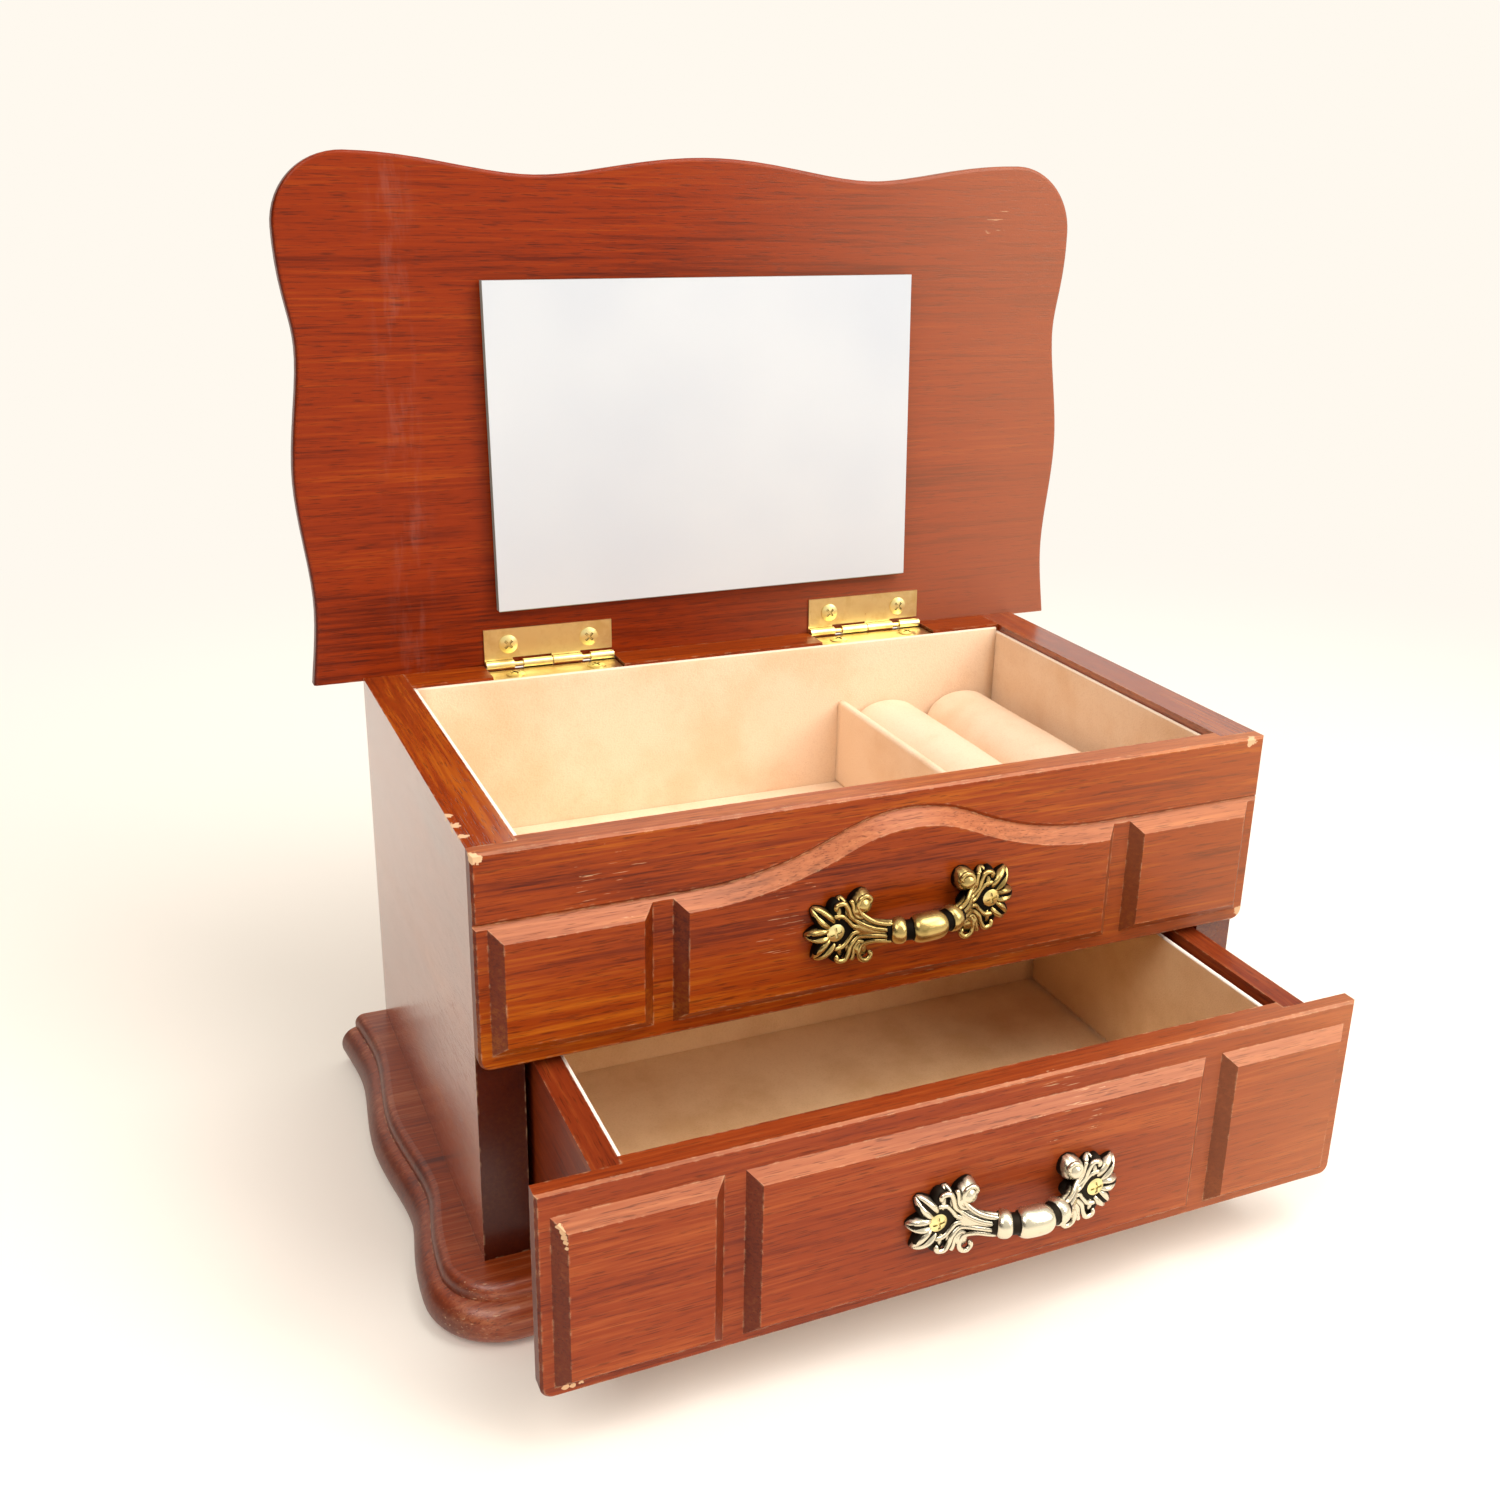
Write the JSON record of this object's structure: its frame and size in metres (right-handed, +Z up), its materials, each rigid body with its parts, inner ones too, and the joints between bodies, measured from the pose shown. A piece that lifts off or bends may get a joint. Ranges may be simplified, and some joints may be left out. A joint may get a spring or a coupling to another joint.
{
  "type": "jewelry box",
  "caption": "Lacquered wooden jewelry box with a lined tray and ring rolls under a hinged mirror lid, above a carved-front drawer, on a moulded scalloped base.",
  "frame": {"origin": "on the underside of the base, below the middle of the carcass", "axes": "+Z up, the front faces -Y, +X to the right seen from the front"},
  "size_m": [0.2338, 0.1944, 0.2544],
  "materials": {
    "lacquered_wood": "glossy red-brown lacquer over fine horizontal grain",
    "plywood": "plain unfinished ply",
    "velveteen": "short peach-coloured pile on card",
    "mirror_glass": "silvered glass",
    "foam_tape": "matte foam",
    "hinge_brass": "bright plated brass",
    "screw_brass": "plated brass screws",
    "antique_brass": "antique brass with dark patina in the hollows",
    "worn_pewter": "the same casting worn to pale grey metal"
  },
  "bodies": {
    "carcass": {"base_plinth": "lacquered_wood", "left_side": "lacquered_wood", "right_side": "lacquered_wood", "back_panel": "lacquered_wood", "upper_front": "lacquered_wood", "tray_floor": "plywood", "tray_lining_left": "velveteen", "tray_lining_right": "velveteen", "tray_lining_front": "velveteen", "tray_lining_back": "velveteen", "tray_lining_floor": "velveteen", "tray_divider": "velveteen", "ring_roll_left": "velveteen", "ring_roll_right": "velveteen", "hinge_box_leaf_left": "hinge_brass", "hinge_box_leaf_right": "hinge_brass", "hinge_pin_left": "hinge_brass", "hinge_pin_right": "hinge_brass", "hinge_box_screws": "screw_brass", "upper_pull": "antique_brass", "upper_pull_screws": "screw_brass"},
    "lid": {"lid_board": "lacquered_wood", "mirror": "mirror_glass", "mirror_tape": "foam_tape", "hinge_lid_leaf_left": "hinge_brass", "hinge_lid_leaf_right": "hinge_brass", "hinge_lid_screws": "screw_brass"},
    "drawer": {"drawer_front": "lacquered_wood", "drawer_side_left": "lacquered_wood", "drawer_side_right": "lacquered_wood", "drawer_back": "lacquered_wood", "drawer_bottom": "plywood", "drawer_lining_left": "velveteen", "drawer_lining_right": "velveteen", "drawer_lining_front": "velveteen", "drawer_lining_back": "velveteen", "drawer_lining_floor": "velveteen", "lower_pull": "worn_pewter", "lower_pull_screws": "screw_brass"}
  },
  "joints": [
    {"name": "lid_hinge", "type": "hinge", "parent": "carcass", "child": "lid", "pos_m": [0, 0.0607, 0.1183], "axis": [1, 0, 0], "range_deg": [0, 92.1]},
    {"name": "drawer_slide", "type": "slide", "parent": "carcass", "child": "drawer", "axis": [0, -1, 0], "range_m": [-0.0433, 0.03]}
  ]
}
